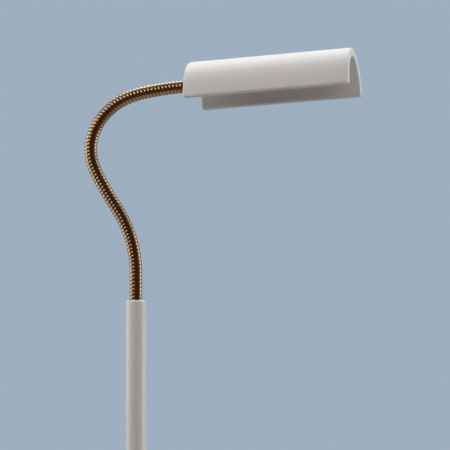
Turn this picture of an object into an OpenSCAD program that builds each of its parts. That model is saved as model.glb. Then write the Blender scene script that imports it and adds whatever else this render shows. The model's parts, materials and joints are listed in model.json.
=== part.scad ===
// Floor lamp with a weighted round foot, a slim pole, a ribbed brass gooseneck and a
// thick-walled half-tube shade. Millimetres, +Z up. The origin lies on the floor, on the
// pole's axis. The neck's S lies in the XZ plane and carries the shade towards +X.

/* [Pole] */
// Outside diameter of the pole
pole_d = 25; // [24:0.5:30]
// Wall of the pole's tubes
pole_wall = 1.5; // [1:0.1:2]
// Height of the pole's top above the floor
pole_top_z = 1100; // [900:10:1300]
// Height of the joint between the lower and the upper tube
pole_seam_z = 562; // [400:2:700]
// Length of the coupler inside that joint
coupler_l = 60; // [40:2:100]
// Wall of the coupler
coupler_wall = 3; // [2:0.5:4]
// Rounding of the pole's top edge
cap_round = 3; // [1:0.5:4]
// Height of the cap that shows above the upper tube
cap_head_h = 4; // [4:0.5:8]
// Length of the cap's shank inside the upper tube
cap_shank_l = 22; // [18:1:40]

/* [Foot] */
// Outside diameter of the foot
foot_d = 250; // [240:5:300]
// Height of the foot's top above the floor
foot_h = 24; // [24:0.5:32]
// Rounding of the foot's upper edge
foot_round = 8; // [4:0.5:10]
// Wall of the foot's cover
cover_wall = 1.5; // [1:0.1:2]
// Diameter of a rubber pad
pad_d = 18; // [12:1:24]
// Thickness of a rubber pad
pad_h = 2.5; // [2:0.5:4]
// Distance from the pads' centres to the foot's edge
pad_inset = 20; // [15:1:30]
// Thickness of the bottom plate
plate_t = 2; // [1.5:0.5:3]
// Gap between the weight's rim and the cover
weight_gap = 4; // [3:0.5:8]
// Radius of the circle of plate screws
screw_ring_r = 90; // [80:1:98]
// Radius of the flange that carries the pole
flange_r = 28; // [24:1:36]
// Thickness of that flange
flange_t = 3.5; // [3:0.5:5]
// Length of the spigot inside the lower tube
spigot_l = 50; // [40:2:80]
// Outside diameter of the collar round the pole's foot
collar_d = 40; // [36:1:50]
// Height of the collar
collar_h = 12; // [10:1:20]
// Bore of the inlet for the supply lead
inlet_bore_d = 6.8; // [6:0.2:7.4]
// Height of the inlet's axis above the floor
inlet_z = 11.8; // [11.5:0.1:13]

/* [Foot switch] */
// Place of the switch along X
switch_x = 60; // [50:1:70]
// Place of the switch along Y
switch_y = -55; // [-65:1:-45]
// Diameter of the switch's body
switch_d = 32; // [28:1:36]
// Diameter of the threaded neck through the cover
switch_neck_d = 22; // [21:0.5:24]
// Diameter of the part of the button that is pressed
button_d = 16; // [12:0.5:16.5]
// Travel of the button
button_travel = 3; // [2:0.5:4]
// Height of the pressed button above its bezel
button_proud = 1.5; // [1.5:0.5:5]
// Wire of the return spring
spring_wire_d = 0.9; // [0.6:0.1:1.2]

/* [Neck] */
// Outside diameter over the ribs
neck_d = 15; // [14:0.5:18]
// Depth of the grooves between the ribs
rib_depth = 1.3; // [0.8:0.1:1.5]
// Radius of a rib's rounded crest
rib_round = 1.2; // [0.8:0.1:1.3]
// Diameter of the ball at the end of each section
ball_d = 9.8; // [9:0.1:10]
// Clearance between a ball and its cup
ball_gap = 0.3; // [0.2:0.05:0.4]
// Bore for the wires
neck_bore_d = 5; // [4:0.5:6]
// Height of the first ball above the pole's top
root_h = 7; // [6:0.5:12]
// Length of the straight rise out of the pole
rise_l = 32.6; // [25:0.1:45]
// Length of the curve that leans back
back_l = 85.6; // [70:0.1:100]
// Angle that it leans back through
back_turn = 33.8; // [20:0.1:38]
// Length of the slanted stretch
slant_l = 55.6; // [40:0.1:70]
// Angle that the slanted stretch turns forward
slant_turn = 6.8; // [0:0.1:12]
// Length of the tight crook
crook_l = 65; // [60:0.1:80]
// Angle that the crook turns forward
crook_turn = 62.8; // [45:0.1:65]
// Length of the curve over the top
over_l = 60.1; // [55:0.1:75]
// Angle that it turns forward
over_turn = 43.5; // [30:0.1:50]
// Length of the last stretch, to the shade
level_l = 70.3; // [60:0.1:90]
// Angle that the last stretch turns forward
level_turn = 9.8; // [0:0.1:20]

/* [Shade] */
// Length of the half tube
shade_l = 200; // [180:1:260]
// Outside diameter of the half tube
shade_d = 101; // [96:0.5:120]
// Wall of the half tube
shade_wall = 10.8; // [8:0.2:12]
// Rounding of the shade's end edges
shade_round = 2.5; // [1:0.5:3.5]
// Height of the neck's axis above the shade's lower plane
neck_rise = 22; // [18:0.2:22.4]
// Distance from the last rib to the shade's end
shade_setback = 2; // [1:0.5:6]
// Depth of the flat seat cast under the crown
seat_drop = 2.7; // [2:0.1:3.5]

/* [Bracket] */
// Thickness of the bracket's sheet
bracket_t = 2.5; // [1.5:0.1:3]
// Width of the bracket under the crown
bracket_w = 26; // [24:0.5:27]
// Length of the bracket under the crown
bracket_l = 30; // [26:1:40]
// Radius of the bracket's rounded lower end
bracket_end_r = 11; // [9:0.5:12]
// Diameter of the threaded nipple
nipple_d = 10; // [9:0.5:11]
// Bore of the nipple
nipple_bore_d = 7; // [5:0.5:7]
// Outside diameter of the ferrule at the neck's end
ferrule_d = 16.4; // [16:0.2:20]
// Length of the ferrule
ferrule_l = 13.5; // [12:0.5:18]
// Distance from the bracket's corner to its screws
bracket_screw_x = 16; // [14:1:20]
// Distance between the two bracket screws
bracket_screw_pitch = 18; // [17:0.5:18.5]

/* [Light] */
// Outside diameter of the lampholder
holder_d = 23; // [21:0.5:23.5]
// Length of the lampholder's ceramic body
holder_l = 31; // [28:1:40]
// Length of the lampholder's entry cap
holder_cap_l = 7.6; // [7:0.2:12]
// Diameter of the bulb's screw cap
bulb_cap_d = 13.8; // [13:0.1:14]
// Diameter of the bulb's glass
bulb_d = 21; // [18:0.5:22]
// Length of the bulb's glass in front of the lampholder
bulb_l = 66; // [50:1:90]
// Wall of the bulb's glass
glass_wall = 0.8; // [0.5:0.1:1]

/* [Hidden] */
$fn = 48;
// Clearance of parts that are fixed to each other
fit = 0.1;
// Radial clearance of parts that slide or turn in each other
running_fit = 0.06;
// Clearance of parts that pass each other
pass = 0.3;
// Extra depth of a cut
cut = 1;

// Depth of a grub screw's end below the surface round it
grub_recess = 0.5;

pole_r = pole_d / 2;
pole_bore_r = pole_r - pole_wall;
coupler_r = pole_bore_r - fit;

plate_z = pad_h;
weight_z = plate_z + plate_t;
cover_under_z = foot_h - cover_wall;
weight_top_z = cover_under_z - flange_t;
foot_r = foot_d / 2;
cover_bore_r = foot_r - cover_wall;
weight_r = cover_bore_r - weight_gap;
pad_ring_r = foot_r - pad_inset;
pad_n = 6;
plate_screw_n = 4;
plate_screw_turn = 20;
m4_r = 2;
m4_head_r = 3.4;
m4_head_h = 1.5;
plate_screw_l = 10;
m10_r = 5;
bolt_head_r = 9.2;
bolt_head_h = 6;
washer_r = 10;
washer_t = 1.6;
plug_margin = 2;
plug_r = washer_r + plug_margin;
pocket_gap = 1;
bolt_recess_h = bolt_head_h + washer_t;
bolt_reach = 30;
collar_round = 4;
collar_screw_z = foot_h + collar_h / 2;
inlet_groove_gap = 0.6;
inlet_lip = 2;
inlet_lip_t = 2;
inlet_wall = 1.4;
channel_w = 12;
channel_end_r = 40;

switch_gap = 2;
switch_floor = 3;
switch_neck_h = 3;
switch_neck_top_z = foot_h + switch_neck_h;
bezel_lip = 1.5;
bezel_rim = 4;
bezel_r = switch_neck_d / 2 + bezel_rim;
bezel_top_z = switch_neck_top_z + bezel_lip;
button_step = 1;
button_round = 1.5;
button_flange_r = button_d / 2 + button_step;
button_flange_t = 5;
button_flange_top_z = switch_neck_top_z - pass;
button_flange_z = button_flange_top_z - button_flange_t;
spring_z = weight_z + switch_floor;
spring_turns = 5;
spring_inset = 2.5;
spring_r = button_flange_r - spring_inset;

link_n = 20;
rib_n = 4;
neck_r = neck_d / 2;
core_r = neck_r - rib_depth;
crest_r = neck_r - rib_round;
ball_r = ball_d / 2;
cup_r = ball_r + ball_gap;
stem_step = 1;
stem_r = ball_r - stem_step;
neck_bore_r = neck_bore_d / 2;
// Crest of a section's first rib above its lower hinge, and of its last below the next
first_rib = 0.9;
last_rib = 4.2;
shoulder_rise = 0.8;
shoulder = last_rib - shoulder_rise;
rim = 0.1;
run_l = [rise_l, back_l, slant_l, crook_l, over_l, level_l];
run_turn = [0, -back_turn, slant_turn, crook_turn, over_turn, level_turn];
link_l = (total(run_l) - root_h) / link_n;
rib_step = (link_l - first_rib - last_rib) / (rib_n - 1);
root_shank_l = 24;
neck_tail = 4.3;
cap_screw_z = pole_top_z - cap_head_h - cap_shank_l / 2;

shade_r = shade_d / 2;
shade_bore_r = shade_r - shade_wall;
seat_z = shade_bore_r - neck_rise - seat_drop;
insert_r = 2.8;
insert_l = 7;
insert_room = 0.5;
seat_margin = 2;
ferrule_lap = 1.5;
ferrule_x = -ferrule_lap;
ferrule_round = 1;
web_x = ferrule_x + ferrule_l + pass;
nut_x = web_x + bracket_t + pass;
nut_t = 4;
nut_r = 9;
nipple_r = nipple_d / 2;
nipple_x = neck_tail + pass;
holder_x = nut_x + nut_t + pass;
ceramic_x = holder_x + holder_cap_l;
ceramic_floor = 3;
holder_r = holder_d / 2;
thread_room = 1.6;
holder_round = 2;
holder_bore_r = bulb_cap_d / 2 + thread_room;
shell_t = 0.6;
shell_gap = 4;
shell_x = ceramic_x + ceramic_floor + shell_gap;
ceramic_end_x = ceramic_x + holder_l;
contact_r = 2.5;
contact_l = 5;
contact_x = ceramic_x + ceramic_floor;
tip_r = 3.2;
contact_gap = 0.2;
tip_x = contact_x + contact_l + contact_gap;
tip_l = 2;
bulb_cap_x = tip_x + tip_l;
shell_recess = 1;
bulb_cap_l = ceramic_end_x - bulb_cap_x - shell_recess;
bulb_x = bulb_cap_x + bulb_cap_l;
bulb_neck_l = 6;
bulb_neck_step = 1;
bulb_neck_r = bulb_cap_d / 2 - bulb_neck_step;
bulb_flare_z = 4;
bulb_flare_l = 6;
bulb_r = bulb_d / 2;
filament_l = 30;
filament_r = 0.5;

function total(v, i = 0) = i < len(v) ? v[i] + total(v, i + 1) : 0;

// Angle from upright of the neck's curve, at a distance along it from the pole's top
function path_heading(s, i = 0) =
    i >= len(run_l) ? 0
    : s <= run_l[i] ? run_turn[i] * s / run_l[i]
    : run_turn[i] + path_heading(s - run_l[i], i + 1);

function link_heading(k) = path_heading(root_h + (k + 0.5) * link_l);

// Hinge below section k, as [x, z]
function hinge(k) =
    k == 0 ? [0, pole_top_z + root_h]
    : hinge(k - 1) + link_l * [sin(link_heading(k - 1)), cos(link_heading(k - 1))];

function link_name(k) = str("neck_link_", k < 9 ? "0" : "", k + 1);

// Half section of a disc whose upper edge is rounded
module rounded_disc(r, h, round_r) {
    square([r - round_r, h]);
    square([r, h - round_r]);
    intersection() {
        translate([r - round_r, h - round_r]) circle(round_r);
        square([r, h]);
    }
}

module ring(r_out, r_in, h) {
    difference() {
        cylinder(r = r_out, h = h);
        translate([0, 0, -cut]) cylinder(r = r_in, h = h + 2 * cut);
    }
}

module at_plate_screws() {
    for (i = [0:plate_screw_n - 1])
        rotate(plate_screw_turn + i * 360 / plate_screw_n)
            translate([screw_ring_r, 0, 0]) children();
}

module at_pads() {
    for (i = [0:pad_n - 1])
        rotate(i * 360 / pad_n) translate([pad_ring_r, 0, 0]) children();
}

module at_switch() {
    translate([switch_x, switch_y, 0]) children();
}

// Along +Y from the pole's axis, at a height
module behind_pole(z) {
    translate([0, 0, z]) rotate([-90, 0, 0]) children();
}

module at_link(k) {
    p = hinge(k);
    translate([p.x, 0, p.y]) rotate([0, link_heading(k), 0]) children();
}

// Frame of the neck's end: +X along the neck's last section, +Z up
module at_neck_end() {
    p = hinge(link_n);
    translate([p.x, 0, p.y]) rotate([0, link_heading(link_n - 1) - 90, 0]) children();
}

// Turned pieces round the neck's end axis, from a distance along it
module along_neck_end(x) {
    at_neck_end() translate([x, 0, 0]) rotate([0, 90, 0]) children();
}

module at_bracket_screws(z) {
    at_neck_end()
        for (side = [-1, 1])
            translate([web_x + bracket_screw_x, side * bracket_screw_pitch / 2, z]) children();
}

module base_pads() {
    color("dimgray") at_pads() cylinder(d = pad_d, h = pad_h);
}

// Plug that closes the hole under the bolt, level with the pads
module base_plug() {
    color("dimgray") cylinder(r = plug_r, h = weight_z - fit);
}

module base_plate() {
    color("silver") difference() {
        translate([0, 0, plate_z]) cylinder(r = cover_bore_r - pass, h = plate_t, $fn = 96);
        translate([0, 0, plate_z - cut]) cylinder(r = plug_r + fit, h = plate_t + 2 * cut);
        at_plate_screws()
            translate([0, 0, plate_z - cut]) cylinder(r = m4_r + fit, h = plate_t + 2 * cut);
    }
}

module plate_screws() {
    color("silver") at_plate_screws() {
        translate([0, 0, plate_z - m4_head_h]) cylinder(r = m4_head_r, h = m4_head_h);
        translate([0, 0, plate_z - fit]) cylinder(r = m4_r, h = plate_screw_l + fit);
    }
}

module base_weight() {
    weight_h = weight_top_z - weight_z;
    color("darkslategray") difference() {
        translate([0, 0, weight_z]) cylinder(r = weight_r, h = weight_h, $fn = 96);
        translate([0, 0, weight_z - cut]) cylinder(r = washer_r + pocket_gap, h = bolt_recess_h + cut);
        translate([0, 0, weight_z]) cylinder(r = m10_r + pass, h = weight_h + cut);
        at_plate_screws()
            translate([0, 0, weight_z - cut]) cylinder(r = m4_r + fit, h = plate_screw_l + cut);
        at_switch() translate([0, 0, weight_z - cut])
            cylinder(r = switch_d / 2 + switch_gap, h = weight_h + 2 * cut);
        translate([-weight_r - cut, -channel_w / 2, inlet_z - channel_w / 2])
            cube([weight_r + cut - channel_end_r, channel_w, foot_h]);
    }
}

module base_cover() {
    shell_h = foot_h - plate_z;
    color("white") difference() {
        translate([0, 0, plate_z]) rotate_extrude($fn = 96) difference() {
            rounded_disc(foot_r, shell_h, foot_round);
            translate([0, -cut])
                rounded_disc(cover_bore_r, shell_h - cover_wall + cut, foot_round - cover_wall);
            translate([-cut, 0]) square([coupler_r + pass + cut, shell_h + cut]);
        }
        at_switch() translate([0, 0, cover_under_z - cut])
            cylinder(d = switch_neck_d + 2 * pass, h = cover_wall + 2 * cut);
        translate([-foot_r - cut, 0, inlet_z]) rotate([0, 90, 0])
            cylinder(r = inlet_bore_d / 2 + inlet_wall + pass, h = cover_wall + 2 * cut);
    }
}

module cord_inlet() {
    groove_r = inlet_bore_d / 2 + inlet_wall;
    lip_r = groove_r + inlet_lip;
    groove_l = cover_wall + 2 * inlet_groove_gap;
    color("dimgray") translate([-foot_r - inlet_groove_gap, 0, inlet_z]) rotate([0, 90, 0])
        difference() {
            union() {
                translate([0, 0, -inlet_lip_t]) cylinder(r = lip_r, h = inlet_lip_t);
                cylinder(r = groove_r, h = groove_l);
                translate([0, 0, groove_l]) cylinder(r = lip_r, h = inlet_lip_t);
            }
            translate([0, 0, -inlet_lip_t - cut])
                cylinder(d = inlet_bore_d, h = groove_l + 2 * inlet_lip_t + 2 * cut);
        }
}

module pole_socket() {
    spigot_top_z = foot_h + spigot_l;
    color("silver") difference() {
        union() {
            translate([0, 0, weight_top_z]) cylinder(r = flange_r, h = flange_t);
            translate([0, 0, weight_top_z]) cylinder(r = coupler_r, h = spigot_top_z - weight_top_z);
        }
        translate([0, 0, weight_top_z - cut]) cylinder(r = m10_r + fit, h = spigot_top_z);
    }
}

module socket_bolt() {
    head_z = weight_z;
    color("silver") {
        translate([0, 0, head_z]) cylinder(r = bolt_head_r, h = bolt_head_h, $fn = 6);
        translate([0, 0, head_z + bolt_head_h - fit])
            cylinder(r = m10_r, h = washer_t + weight_top_z - weight_z - bolt_recess_h + bolt_reach);
    }
}

module socket_washer() {
    color("silver") translate([0, 0, weight_z + bolt_head_h]) ring(washer_r, m10_r + fit, washer_t);
}

module foot_collar() {
    color("white") difference() {
        translate([0, 0, foot_h]) rotate_extrude() difference() {
            rounded_disc(collar_d / 2, collar_h, collar_round);
            translate([-cut, -cut]) square([pole_r + fit + cut, collar_h + 2 * cut]);
        }
        behind_pole(collar_screw_z) cylinder(r = m4_r + fit, h = collar_d);
    }
}

module collar_screw() {
    start = pole_r + fit;
    color("silver") behind_pole(collar_screw_z)
        translate([0, 0, start]) cylinder(r = m4_r, h = collar_d / 2 - start - grub_recess);
}

module switch_body() {
    color("dimgray") at_switch() difference() {
        union() {
            translate([0, 0, weight_z]) cylinder(d = switch_d, h = cover_under_z - pass - weight_z);
            translate([0, 0, weight_z]) cylinder(d = switch_neck_d, h = switch_neck_top_z - weight_z);
        }
        translate([0, 0, spring_z])
            cylinder(r = button_flange_r + running_fit, h = switch_neck_top_z);
    }
}

module switch_bezel() {
    color("white") at_switch() difference() {
        translate([0, 0, foot_h]) rotate_extrude()
            rounded_disc(bezel_r, bezel_top_z - foot_h, bezel_lip);
        translate([0, 0, foot_h - cut])
            cylinder(d = switch_neck_d + 2 * fit, h = switch_neck_top_z - foot_h + cut);
        translate([0, 0, foot_h]) cylinder(r = button_d / 2 + running_fit, h = foot_h);
    }
}

module switch_button() {
    stem_h = bezel_top_z + button_travel + button_proud - button_flange_top_z;
    color("black") at_switch() {
        translate([0, 0, button_flange_z]) cylinder(r = button_flange_r, h = button_flange_t);
        translate([0, 0, button_flange_top_z])
            rotate_extrude() rounded_disc(button_d / 2, stem_h, button_round);
    }
}

// One unbroken six-sided wire wound round +Z
module wound_wire(r, wire_r, h, turns) {
    sides = 6;
    turn_rings = 8;
    rings = turn_rings * turns;
    points = [
        for (i = [0:rings], j = [0:sides - 1])
            let (turn = i * 360 / turn_rings, out = r + wire_r * cos(j * 360 / sides))
                [out * cos(turn), out * sin(turn), h * i / rings + wire_r * sin(j * 360 / sides)]];
    sleeve = [
        for (i = [0:rings - 1], j = [0:sides - 1])
            let (a = i * sides + j, b = i * sides + (j + 1) % sides)
                each [[a, a + sides, b], [b, a + sides, b + sides]]];
    start_cap = [for (j = [1:sides - 2]) [0, j, j + 1]];
    end_cap = [for (j = [1:sides - 2]) [rings * sides, rings * sides + j + 1, rings * sides + j]];
    polyhedron(points, concat(sleeve, start_cap, end_cap));
}

module switch_spring() {
    wire_r = spring_wire_d / 2;
    wound_h = button_flange_z - spring_z - 2 * wire_r - fit;
    color("silver") at_switch() translate([0, 0, spring_z + wire_r + fit / 2])
        wound_wire(spring_r, wire_r, wound_h, spring_turns);
}

module pole_lower() {
    color("white") translate([0, 0, foot_h]) ring(pole_r, pole_bore_r, pole_seam_z - foot_h);
}

module pole_coupler() {
    color("silver") translate([0, 0, pole_seam_z - coupler_l / 2])
        ring(coupler_r, coupler_r - coupler_wall, coupler_l);
}

module pole_upper() {
    color("white") difference() {
        translate([0, 0, pole_seam_z])
            ring(pole_r, pole_bore_r, pole_top_z - cap_head_h - pole_seam_z);
        behind_pole(cap_screw_z) cylinder(r = m4_r + fit, h = pole_d);
    }
}

module pole_cap() {
    color("white") difference() {
        union() {
            translate([0, 0, pole_top_z - cap_head_h])
                rotate_extrude() rounded_disc(pole_r, cap_head_h, cap_round);
            translate([0, 0, pole_top_z - cap_head_h - cap_shank_l])
                cylinder(r = coupler_r, h = cap_shank_l + fit);
        }
        translate([0, 0, pole_top_z - cap_head_h - cap_shank_l - cut])
            cylinder(r = core_r + fit, h = cap_head_h + cap_shank_l + 2 * cut);
        behind_pole(cap_screw_z) cylinder(r = m4_r + fit, h = pole_d);
    }
}

module cap_screw() {
    start = core_r + fit;
    color("silver") behind_pole(cap_screw_z)
        translate([0, 0, start]) cylinder(r = m4_r, h = pole_r - start - grub_recess);
}

module rib_section(z) {
    translate([crest_r, z]) circle(rib_round);
}

// Ball above a section's last rib, and the stem that carries it
module ball_section(z) {
    translate([0, z - shoulder - cut]) square([stem_r, shoulder + cut]);
    translate([0, z]) circle(ball_r);
}

module neck_root() {
    color("goldenrod") translate([0, 0, pole_top_z]) rotate_extrude() difference() {
        union() {
            translate([0, -root_shank_l]) square([core_r, root_shank_l + root_h - shoulder]);
            rib_section(root_h - last_rib);
            ball_section(root_h);
        }
        translate([-ball_r - cut, -root_shank_l - cut])
            square([ball_r + cut + neck_bore_r, root_shank_l + root_h + ball_r + 2 * cut]);
    }
}

// Section k of the neck: a cup below, ribs, and a ball above. The last has a plain end.
module neck_link(k) {
    is_last = k == link_n - 1;
    core_top = is_last ? link_l + neck_tail : link_l - shoulder;
    color("goldenrod") at_link(k) rotate_extrude() difference() {
        union() {
            translate([0, rim]) square([core_r, core_top - rim]);
            for (i = [0:rib_n - 1]) rib_section(first_rib + i * rib_step);
            if (!is_last) ball_section(link_l);
        }
        circle(cup_r);
        translate([-ball_r - cut, -cut])
            square([ball_r + cut + neck_bore_r, link_l + ball_r + 3 * cut]);
    }
}

module neck_ferrule() {
    color("goldenrod") along_neck_end(ferrule_x) difference() {
        rotate_extrude() rounded_disc(ferrule_d / 2, ferrule_l, ferrule_round);
        translate([0, 0, -cut]) cylinder(r = core_r + fit, h = neck_tail + pass / 2 - ferrule_x + cut);
        cylinder(r = nipple_r + fit, h = ferrule_l + cut);
    }
}

module neck_nipple() {
    color("goldenrod") along_neck_end(nipple_x)
        ring(nipple_r, nipple_bore_d / 2, ceramic_x - fit - nipple_x);
}

module lock_nut() {
    color("silver") along_neck_end(nut_x) difference() {
        cylinder(r = nut_r, h = nut_t, $fn = 6);
        translate([0, 0, -cut]) cylinder(r = nipple_r + fit, h = nut_t + 2 * cut);
    }
}

// Section of the shade's wall, with rounded corners
module shade_wall_section() {
    far = shade_l - shade_round;
    inner = shade_bore_r + shade_round;
    outer = shade_r - shade_round;
    translate([inner, 0]) square([outer - inner, shade_l]);
    translate([shade_bore_r, shade_round]) square([shade_wall, shade_l - 2 * shade_round]);
    for (r = [inner, outer], x = [shade_round, far])
        translate([r, x]) circle(shade_round);
}

module shade() {
    seat_l = bracket_l + 2 * seat_margin;
    seat_w = bracket_w + 2 * seat_margin;
    color("whitesmoke") difference() {
        at_neck_end() union() {
            translate([shade_setback, 0, -neck_rise]) rotate([90, 0, 90])
                rotate_extrude(angle = 180, $fn = 96) shade_wall_section();
            intersection() {
                translate([web_x - seat_margin, -seat_w / 2, seat_z]) cube([seat_l, seat_w, shade_r]);
                translate([shade_setback, 0, -neck_rise]) rotate([0, 90, 0])
                    cylinder(r = shade_bore_r + shade_wall / 2, h = shade_l, $fn = 96);
            }
        }
        at_bracket_screws(seat_z - cut) cylinder(r = insert_r + fit / 2, h = insert_l + insert_room + cut);
    }
}

module shade_inserts() {
    color("goldenrod") at_bracket_screws(seat_z) ring(insert_r, m4_r + fit, insert_l);
}

module shade_bracket() {
    color("white") difference() {
        at_neck_end() {
            translate([web_x, -bracket_w / 2, seat_z - bracket_t])
                cube([bracket_l, bracket_w, bracket_t]);
            translate([web_x, -bracket_end_r, 0]) cube([bracket_t, 2 * bracket_end_r, seat_z]);
            translate([web_x, 0, 0]) rotate([0, 90, 0]) cylinder(r = bracket_end_r, h = bracket_t);
        }
        along_neck_end(web_x - cut) cylinder(r = nipple_r + running_fit, h = bracket_t + 2 * cut);
        at_bracket_screws(seat_z - bracket_t - cut)
            cylinder(r = m4_r + fit, h = bracket_t + 2 * cut);
    }
}

module bracket_screws() {
    under = seat_z - bracket_t;
    color("silver") {
        at_bracket_screws(under - m4_head_h) cylinder(r = m4_head_r, h = m4_head_h);
        at_bracket_screws(under - fit) cylinder(r = m4_r, h = bracket_t + insert_l + fit);
    }
}

module lampholder_cap() {
    color("white") along_neck_end(holder_x) difference() {
        translate([0, 0, holder_cap_l]) rotate([180, 0, 0])
            rotate_extrude() rounded_disc(holder_r, holder_cap_l, holder_round);
        translate([0, 0, -cut]) cylinder(r = nipple_r + fit, h = holder_cap_l + 2 * cut);
    }
}

module lampholder_body() {
    color("white") along_neck_end(ceramic_x) difference() {
        cylinder(r = holder_r, h = holder_l);
        translate([0, 0, ceramic_floor]) cylinder(r = holder_bore_r, h = holder_l);
    }
}

module lampholder_shell() {
    shell_r = holder_bore_r - fit;
    color("goldenrod") along_neck_end(shell_x)
        ring(shell_r, shell_r - shell_t, ceramic_end_x - shell_x - shell_recess);
}

module lampholder_contact() {
    color("goldenrod") along_neck_end(contact_x) cylinder(r = contact_r, h = contact_l);
}

module bulb_cap() {
    thread_n = 4;
    thread_round = 0.9;
    thread_margin = 2;
    thread_step = (bulb_cap_l - 2 * thread_margin) / thread_n;
    color("goldenrod") {
        along_neck_end(bulb_cap_x) rotate_extrude() {
            square([bulb_cap_d / 2 - thread_round, bulb_cap_l]);
            for (i = [0:thread_n - 1])
                translate([bulb_cap_d / 2 - thread_round, thread_margin + (i + 0.5) * thread_step])
                    circle(thread_round);
        }
        along_neck_end(tip_x) cylinder(r = tip_r, h = tip_l + fit);
    }
}

// Half section of a tube-shaped bulb with a drawn-in neck and a round end
module bulb_section(r, l, neck) {
    square([neck, bulb_neck_l]);
    flare_end = bulb_flare_z + bulb_flare_l;
    polygon([[0, bulb_flare_z], [neck, bulb_flare_z], [r, flare_end], [r, l - r], [0, l - r]]);
    translate([0, l - r]) intersection() {
        circle(r);
        square(r + cut);
    }
}

module bulb_glass() {
    color("white", 0.4) along_neck_end(bulb_x) rotate_extrude() difference() {
        bulb_section(bulb_r, bulb_l, bulb_neck_r);
        translate([0, -cut])
            bulb_section(bulb_r - glass_wall, bulb_l - glass_wall + cut, bulb_neck_r - glass_wall);
    }
}

module bulb_filament() {
    mount_r = 2;
    mount_l = 12;
    post_sink = 2;
    post_x = bulb_x + mount_l - post_sink;
    bar_l = 4;
    color("lightgray") {
        along_neck_end(bulb_x) cylinder(r = mount_r, h = mount_l);
        for (side = [-1, 1])
            along_neck_end(post_x) translate([0, side * mount_r / 2, 0])
                cylinder(r = filament_r, h = filament_l);
        along_neck_end(post_x + filament_l) translate([0, -bar_l / 2, 0])
            rotate([-90, 0, 0]) cylinder(r = filament_r, h = bar_l);
    }
}

base_pads();
base_plug();
base_plate();
plate_screws();
base_weight();
base_cover();
cord_inlet();
pole_socket();
socket_bolt();
socket_washer();
foot_collar();
collar_screw();
switch_body();
switch_bezel();
switch_button();
switch_spring();
pole_lower();
pole_coupler();
pole_upper();
pole_cap();
cap_screw();
neck_root();
for (k = [0:link_n - 1])
    neck_link(k);
neck_ferrule();
neck_nipple();
lock_nut();
shade();
shade_inserts();
shade_bracket();
bracket_screws();
lampholder_cap();
lampholder_body();
lampholder_shell();
lampholder_contact();
bulb_cap();
bulb_glass();
bulb_filament();
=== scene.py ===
# %% [markdown]
# # A floor lamp with a flexible brass neck
# The lamp has a heavy round foot with a foot switch, a slim white pole, a gooseneck of wound brass
# and a thick half-tube shade with a small bulb under it. The shapes that carry load come from the
# CAD frame. This script gives them their finishes and builds the pieces whose real form is finer
# than the frame's solids: the wound neck, the soft-edged shade, the screws and the bulb.

# %% Load the frame
import json
import math

import bpy
import numpy as np
from mathutils import Matrix, Vector


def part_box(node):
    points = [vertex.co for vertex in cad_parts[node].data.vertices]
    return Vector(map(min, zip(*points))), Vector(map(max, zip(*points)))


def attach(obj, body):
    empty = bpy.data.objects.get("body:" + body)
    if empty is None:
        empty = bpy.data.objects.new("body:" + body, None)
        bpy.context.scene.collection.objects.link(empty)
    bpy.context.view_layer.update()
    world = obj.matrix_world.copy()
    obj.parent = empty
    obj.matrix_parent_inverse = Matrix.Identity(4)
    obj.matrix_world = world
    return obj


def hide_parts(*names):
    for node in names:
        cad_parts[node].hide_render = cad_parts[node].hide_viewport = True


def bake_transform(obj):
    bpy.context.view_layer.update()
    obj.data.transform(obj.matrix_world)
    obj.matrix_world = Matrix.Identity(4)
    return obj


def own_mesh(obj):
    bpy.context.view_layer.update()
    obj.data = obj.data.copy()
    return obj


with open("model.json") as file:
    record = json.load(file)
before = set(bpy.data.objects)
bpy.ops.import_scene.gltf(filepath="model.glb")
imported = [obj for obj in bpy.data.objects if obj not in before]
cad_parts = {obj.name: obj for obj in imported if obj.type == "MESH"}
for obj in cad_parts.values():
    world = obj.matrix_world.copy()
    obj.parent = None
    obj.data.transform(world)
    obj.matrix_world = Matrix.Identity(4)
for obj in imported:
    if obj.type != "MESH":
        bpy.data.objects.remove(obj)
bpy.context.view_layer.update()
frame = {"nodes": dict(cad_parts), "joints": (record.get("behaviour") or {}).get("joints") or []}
nodes = frame["nodes"]
joint_to = {joint["child"]: joint for joint in frame["joints"]}
scene = bpy.context.scene
scene.view_settings.view_transform = "Standard"
MM = 0.001

# %% [markdown]
# ## Camera
# The photograph is taken from a little below the shade with a long lens, from the front and slightly
# to the open end of the shade. A camera could be aimed by a constraint, but three plain turns can be
# changed one by one: round the lamp, up, and a slight roll. A long lens keeps the shade's long edges
# nearly parallel. The camera tilts up rather than shifting its picture, so that it can be moved round
# the lamp for other views.

# %% Camera
CAMERA_PLACE = (0.6169, -2.0761, 0.9616)
TURN_DEGREES, TILT_DEGREES, ROLL_DEGREES = 13.667, 6.079, -0.278
LENS_MM, SENSOR_MM = 142.12, 36
camera_data = bpy.data.cameras.new("camera")
camera_data.lens = LENS_MM
camera_data.sensor_width = SENSOR_MM
camera = bpy.data.objects.new("camera", camera_data)
scene.collection.objects.link(camera)
turn_round = Matrix.Rotation(math.radians(TURN_DEGREES), 4, "Z")
tilt_up = Matrix.Rotation(math.radians(90 + TILT_DEGREES), 4, "X")
roll = Matrix.Rotation(math.radians(ROLL_DEGREES), 4, "Z")
camera.matrix_world = Matrix.Translation(CAMERA_PLACE) @ turn_round @ tilt_up @ roll
scene.camera = camera
print("camera at", [round(v, 3) for v in camera.location], "lens", LENS_MM, "mm")

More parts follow.
